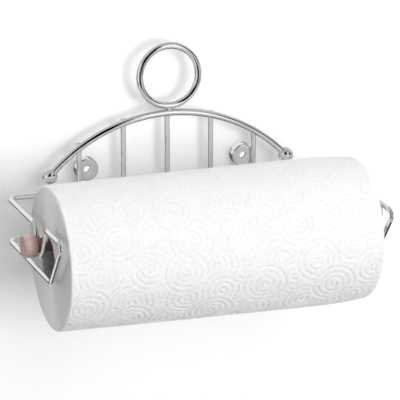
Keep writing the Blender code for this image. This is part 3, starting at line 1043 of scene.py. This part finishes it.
def perforation(x, distance):
    """Depth of the dashed cut line between two sheets, at a distance along the web."""
    depth, width, dash_pitch = 0.40 * MM, 0.55 * MM, 6.5 * MM
    cut = 0.5 * (1 + np.tanh(12 * (np.sin(FULL_TURN * x / dash_pitch) + 0.72)))
    return depth * np.exp(-((distance / width) ** 2)) * (0.35 + 0.65 * cut)


def sheet_depth(x, angles, start, end, flat):
    """How far a sheet's outside lies under the roll's outline, and the share of pits in it, which
    sets their painted shade.
    """
    arc = np.repeat(((angles - TAIL_ANGLE) * ROLL_RADIUS)[None, :], len(x), 0)
    depth, pits = emboss(x, arc)
    # Deeper pressing, and darker painted shade in the pits, towards the roll's lower front, where
    # the light grazes
    least, extra, focus = PRESS_AND_PIT_SHADE
    press_and_pit_shade = least + extra * np.exp(focus * (np.cos(angles - PRESS_AND_SHADE_ANGLE) - 1))
    depth, pits = depth * press_and_pit_shade, pits * press_and_pit_shade
    depth += slow_waves(x, arc, 5, SLOW_WAVES)
    depth += perforation(x, (angles - start) * ROLL_RADIUS)
    depth += perforation(x, (end - angles) * ROLL_RADIUS)
    random = np.random.default_rng(23)
    depth += random.uniform(0, CREPE_GRAIN, depth.shape)
    cut_edge = random.uniform(0, CUT_EDGE, len(x))[:, None]
    depth = np.minimum(depth, SHEET - THINNEST_SHEET)
    return depth * flat + cut_edge * (1 - flat), pits * flat


def build_sheet(name, start, end, material):
    """One sheet of the outermost turn, from angle start to end, as a thin closed shell."""
    profile, normals, flat = roll_profile(SHEET_STEP)
    coarse = np.arange(0, len(profile), COARSE_STEP)
    coarse = np.unique(np.concatenate([np.nonzero(flat < 1)[0], coarse]))
    columns = round((end - start) * ROLL_RADIUS / SHEET_STEP)
    angles = np.linspace(start, end, columns + 1)
    x = np.repeat(profile[:, :1], columns + 1, 1)
    depth, pits = sheet_depth(x, angles, start, end, flat[:, None])
    dip = LAYER * (angles - TAIL_ANGLE) / FULL_TURN  # the web runs inwards, to lie under its tail
    depth += dip * flat[:, None]

    def surface(rows, sink):
        return around_axis(ROLL_CENTRE, profile[rows, :1] - normals[rows, :1] * sink,
                           profile[rows, 1:] - normals[rows, 1:] * sink, angles)

    outer, inner = surface(slice(None), depth), surface(coarse, SHEET + dip)
    width = columns + 1
    k = np.arange(columns)
    first, top, low = len(outer), (len(profile) - 1) * width, len(outer) + (len(coarse) - 1) * width
    quads = np.concatenate([
        grid_faces(len(profile), width),
        grid_faces(len(coarse), width)[:, ::-1] + first,
        np.stack([k + 1, k, first + k, first + k + 1], -1),
        np.stack([top + k, top + k + 1, low + k + 1, low + k], -1),
    ])
    polygons = []
    for column, flip in ((0, 1), (columns, -1)):
        loop = [row * width + column for row in range(len(profile))]
        loop += [first + row * width + column for row in reversed(range(len(coarse)))]
        polygons.append(loop[::flip])
    mesh = face_outwards(build_mesh(name, np.concatenate([outer, inner]), quads, polygons))
    # The pits' share, which the tissue turns into painted shade
    share = mesh.attributes.new("pit_share", "FLOAT", "POINT")
    share.data.foreach_set("value", np.concatenate([pits.ravel(), np.zeros(len(inner))]))
    add_piece(mesh, material, "roll", "towel_paper", sharp_angle=60)


def build_windings(material):
    """All the turns under the outermost one: one body whose ends show the edge of every turn."""
    profile, normals, _ = roll_profile(6 * MM)
    outside = profile - normals * (SHEET + LAYER + 0.05 * MM)
    random = np.random.default_rng(31)
    inner = CORE_RADIUS + GAP
    segments = 150
    angles = ring_angles(segments)

    def end_rings(sign, edge_radius):
        turns = int((edge_radius - inner) / LAYER)
        pitch = (edge_radius - inner) / turns
        wander = np.cumsum(random.normal(0, 0.05, turns))
        wander -= np.linspace(wander[0], wander[-1], turns)
        wander = np.minimum((wander - wander.min()) * MM, TURN_WANDER)
        rings = []
        for turn in range(turns):
            drift = 0.10 * np.sin(angles * 3 + turn * 0.21) + 0.06 * np.sin(angles * 7 - turn * 0.4)
            # Each turn stands proud of the groove between it and the turn before
            for share, groove in ((0.0, TURN_GROOVE), (0.5, 0.0)):
                radius = inner + pitch * (turn + share)
                telescoped = -ROLL_TELESCOPE * (edge_radius - radius) / (edge_radius - inner)
                sunk = wander[turn] + groove + (0.16 + drift) * MM
                rings.append((sign * ROLL_HALF + telescoped - sign * sunk, radius))
        return rings

    left = end_rings(-1, outside[0, 1])
    right = end_rings(1, outside[-1, 1])
    rings = left + [tuple(point) for point in outside] + right[::-1]
    x = np.array([np.broadcast_to(ring_x, segments) for ring_x, _ in rings])
    radius = np.array([ring_radius for _, ring_radius in rings])[:, None]
    mesh = build_mesh("roll_windings", around_axis(ROLL_CENTRE, x, radius, angles),
                      grid_faces(len(x), segments, wrap_rows=True, wrap_columns=True))
    add_piece(face_outwards(mesh), material, "roll", "towel_paper", "paper_roll", sharp_angle=80)


def build_paper(paper, paper_edge):
    build_windings(paper_edge)
    first = TAIL_ANGLE + SHEET_LENGTH / ROLL_RADIUS
    second = TAIL_ANGLE + 2 * SHEET_LENGTH / ROLL_RADIUS
    build_sheet("towel_sheet_tail", TAIL_ANGLE, first, paper)
    build_sheet("towel_sheet_middle", first, second, paper)
    build_sheet("towel_sheet_under", second, TAIL_ANGLE + FULL_TURN, paper)


make_camera()
make_stage()
wire_chrome = chrome("wire_chrome", 0.005, 0.035)
cup_chrome = chrome("cup_chrome", 0.06, 0.14)
ball_chrome = chrome("ball_chrome", 0.01, 0.05)
# The rod's beech is darker than the knobs' as painted shade, for the shade it lies in between the
# knobs and inside the core
pale_wood = beech("lacquered_beech", (0.64, 0.44, 0.40))
dark_wood = beech("shaded_rod_beech", (0.42, 0.26, 0.22))
build_wires(wire_chrome)
build_finials(ball_chrome)
build_cups(cup_chrome)
build_welds(wire_chrome)
build_ring_weld(wire_chrome)
build_butt_welds(wire_chrome)
build_rod(dark_wood)
build_knobs(pale_wood)
build_core(core_board("grey_board"))
build_paper(tissue("white_tissue"), tissue_edge("tissue_edge"))
